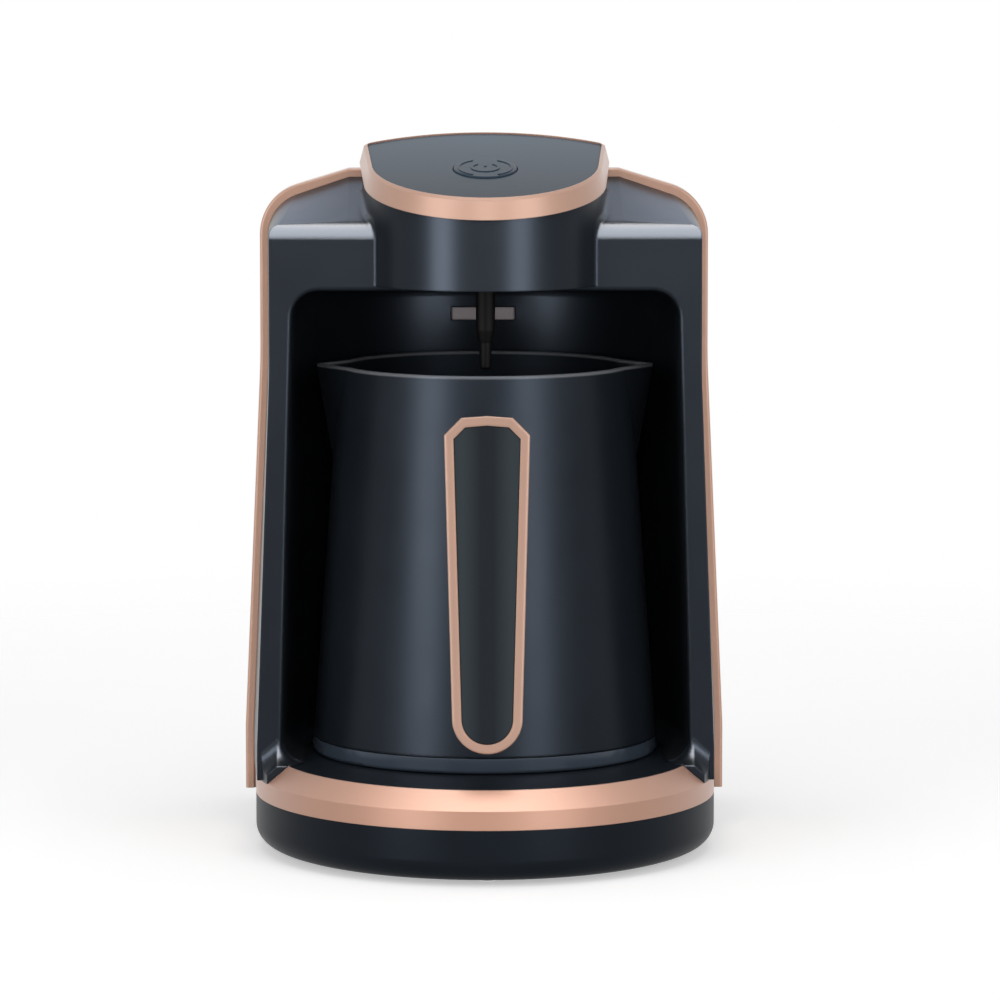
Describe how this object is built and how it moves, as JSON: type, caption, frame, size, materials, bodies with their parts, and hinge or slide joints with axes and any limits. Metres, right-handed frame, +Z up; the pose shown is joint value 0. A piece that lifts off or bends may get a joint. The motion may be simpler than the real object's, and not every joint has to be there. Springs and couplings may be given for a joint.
{
  "type": "electric coffee maker with removable pot",
  "caption": "Electric coffee maker: arched housing with a sloping control head, open bay, removable spouted pot with a loop handle, foam probe, and a heated base with trim",
  "frame": {"origin": "on the table under the middle of the machine, on the axis of the pot", "axes": "+X to the user's right as the machine is faced, +Y to the rear, +Z up; the user stands on the -Y side"},
  "size_m": [0.164, 0.1932, 0.2396],
  "materials": {
    "matte_black": "fine satin black",
    "rose_gold": "satin rose gold coating",
    "slate_panel": "satin slate, clear coated",
    "button_cap": "satin slate with raised pale marks",
    "pot_coating": "satin black non-stick coating",
    "pot_ring": "glossy blue-grey",
    "grip_black": "satin black",
    "grip_inlay": "glossy dark grey-green",
    "window_grey": "smoked translucent",
    "aluminium": "turned",
    "steel": "plain",
    "silicone": "soft matt",
    "foot_rubber": "soft matt",
    "circuit_board": "green lacquer",
    "component_black": "plain",
    "component_pale": "plain",
    "wire_grey": "smooth insulation",
    "pot_disc": "turned disc with fine rings"
  },
  "bodies": {
    "machine": {"base_shell": "matte_black", "bottom_plate": "matte_black", "feet": "foot_rubber", "bottom_screws": "steel", "base_trim": "rose_gold", "deck": "matte_black", "front_housing": "matte_black", "side_trim_right": "rose_gold", "side_trim_left": "rose_gold", "rear_shell": "matte_black", "cord_inlet": "silicone", "head_trim": "rose_gold", "control_panel": "slate_panel", "button_board": "circuit_board", "tact_switch": "component_black", "status_leds": "component_pale", "probe_sleeve": "grip_black", "probe_rod": "steel", "probe_holder": "component_black", "sensor_window": "window_grey", "sensor_board": "circuit_board", "heating_plate": "aluminium", "plate_gasket": "silicone", "heating_element": "aluminium", "plate_clamp": "steel", "clamp_screws": "steel", "thermostat": "component_black", "thermal_fuse": "component_pale", "plunger_guide": "component_pale", "plunger_spring": "steel", "power_board": "circuit_board", "board_screws": "steel", "relay": "component_black", "transformer": "component_pale", "capacitor": "component_black", "terminal_block": "component_pale", "heater_leads": "wire_grey", "panel_lead": "wire_grey", "sensor_lead": "wire_grey"},
    "pot": {"pot_body": "pot_coating", "pot_base_ring": "pot_ring", "pot_base_disc": "pot_disc", "handle_core": "grip_black", "handle_trim": "rose_gold", "handle_insert": "grip_inlay", "handle_brackets": "pot_coating", "handle_screws": "steel"},
    "button": {"power_button": "button_cap"},
    "plunger": {"sensor_plunger": "steel"}
  },
  "joints": [
    {"name": "pot_slide", "type": "slide", "parent": "machine", "child": "pot", "axis": [0, -1, 0], "range_m": [0, 0.17]},
    {"name": "power_press", "type": "slide", "parent": "machine", "child": "button", "axis": [0, 0.2389, -0.971], "range_m": [0, 0.0008], "stiffness_N_per_m": 400, "springref_m": -0.0005},
    {"name": "plunger_press", "type": "slide", "parent": "machine", "child": "plunger", "axis": [0, 0, 1], "range_m": [-0.0015, 0], "stiffness_N_per_m": 300, "springref_m": 0.003, "deforming": ["plunger_spring"]}
  ]
}
